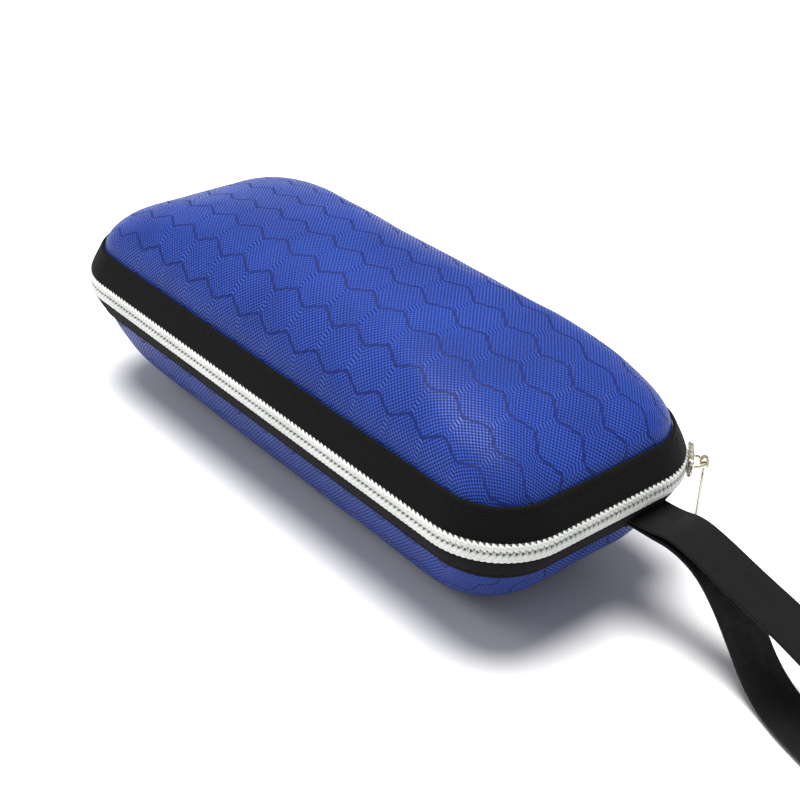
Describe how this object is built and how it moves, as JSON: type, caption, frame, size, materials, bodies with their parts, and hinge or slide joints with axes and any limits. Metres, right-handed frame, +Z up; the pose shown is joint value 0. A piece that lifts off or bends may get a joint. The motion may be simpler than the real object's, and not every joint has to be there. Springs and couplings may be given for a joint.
{
  "type": "eyeglasses case",
  "caption": "Zip-up moulded clamshell case for glasses, in blue honeycomb-weave nylon with black rim bindings, a white coil zipper, a metal slider and a ribbon wrist strap.",
  "frame": {"origin": "centre of the flat face the closed case rests on", "axes": "+X along the length towards the end with the slider and strap, +Z up, the zipper opens at -Y and the hinge is at +Y"},
  "size_m": [0.3155, 0.067, 0.056],
  "materials": {
    "blue_nylon": "satin",
    "moulded_foam": "matte",
    "knit_lining": "matte",
    "black_binding": "matte",
    "black_thread": "satin",
    "zipper_tape": "matte",
    "zipper_coil": "satin",
    "stop_metal": "satin",
    "hinge_fabric": "matte",
    "strap_ribbon": "satin",
    "slider_metal": "satin"
  },
  "bodies": {
    "base": {"lower_outer_fabric": "blue_nylon", "lower_foam_core": "moulded_foam", "lower_lining": "knit_lining", "lower_rim_binding": "black_binding", "lower_binding_stitching": "black_thread", "lower_inner_binding": "black_binding", "lower_zipper_tape": "zipper_tape", "lower_zipper_coil": "zipper_coil", "lower_zipper_end_stops": "stop_metal", "lower_hinge_outer_leaf": "hinge_fabric", "lower_hinge_inner_leaf": "hinge_fabric", "strap_anchor": "strap_ribbon", "strap_stitching": "black_thread", "wrist_strap": "strap_ribbon"},
    "lid": {"upper_outer_fabric": "blue_nylon", "upper_foam_core": "moulded_foam", "upper_lining": "knit_lining", "upper_rim_binding": "black_binding", "upper_binding_stitching": "black_thread", "upper_inner_binding": "black_binding", "upper_zipper_tape": "zipper_tape", "upper_zipper_coil": "zipper_coil", "upper_zipper_end_stops": "stop_metal", "upper_hinge_outer_leaf": "hinge_fabric", "upper_hinge_inner_leaf": "hinge_fabric"},
    "slider": {"slider_body": "slider_metal", "slider_bridge": "slider_metal"},
    "pull": {"pull_tab": "slider_metal"}
  },
  "joints": [
    {"name": "lid_hinge", "type": "hinge", "parent": "base", "child": "lid", "pos_m": [0, 0.03355, 0.029], "axis": [-1, 0, 0], "range_deg": [0, 180]},
    {"name": "slider_travel", "type": "hinge", "parent": "base", "child": "slider", "pos_m": [0.063, 0.0155, 0.029], "axis": [0, 0, -1], "range_deg": [0, 20]},
    {"name": "pull_swing", "type": "hinge", "parent": "slider", "child": "pull", "pos_m": [0.07913, 0.03002, 0.029], "axis": [0.6691, -0.7431, 0], "range_deg": [0, 150]}
  ]
}
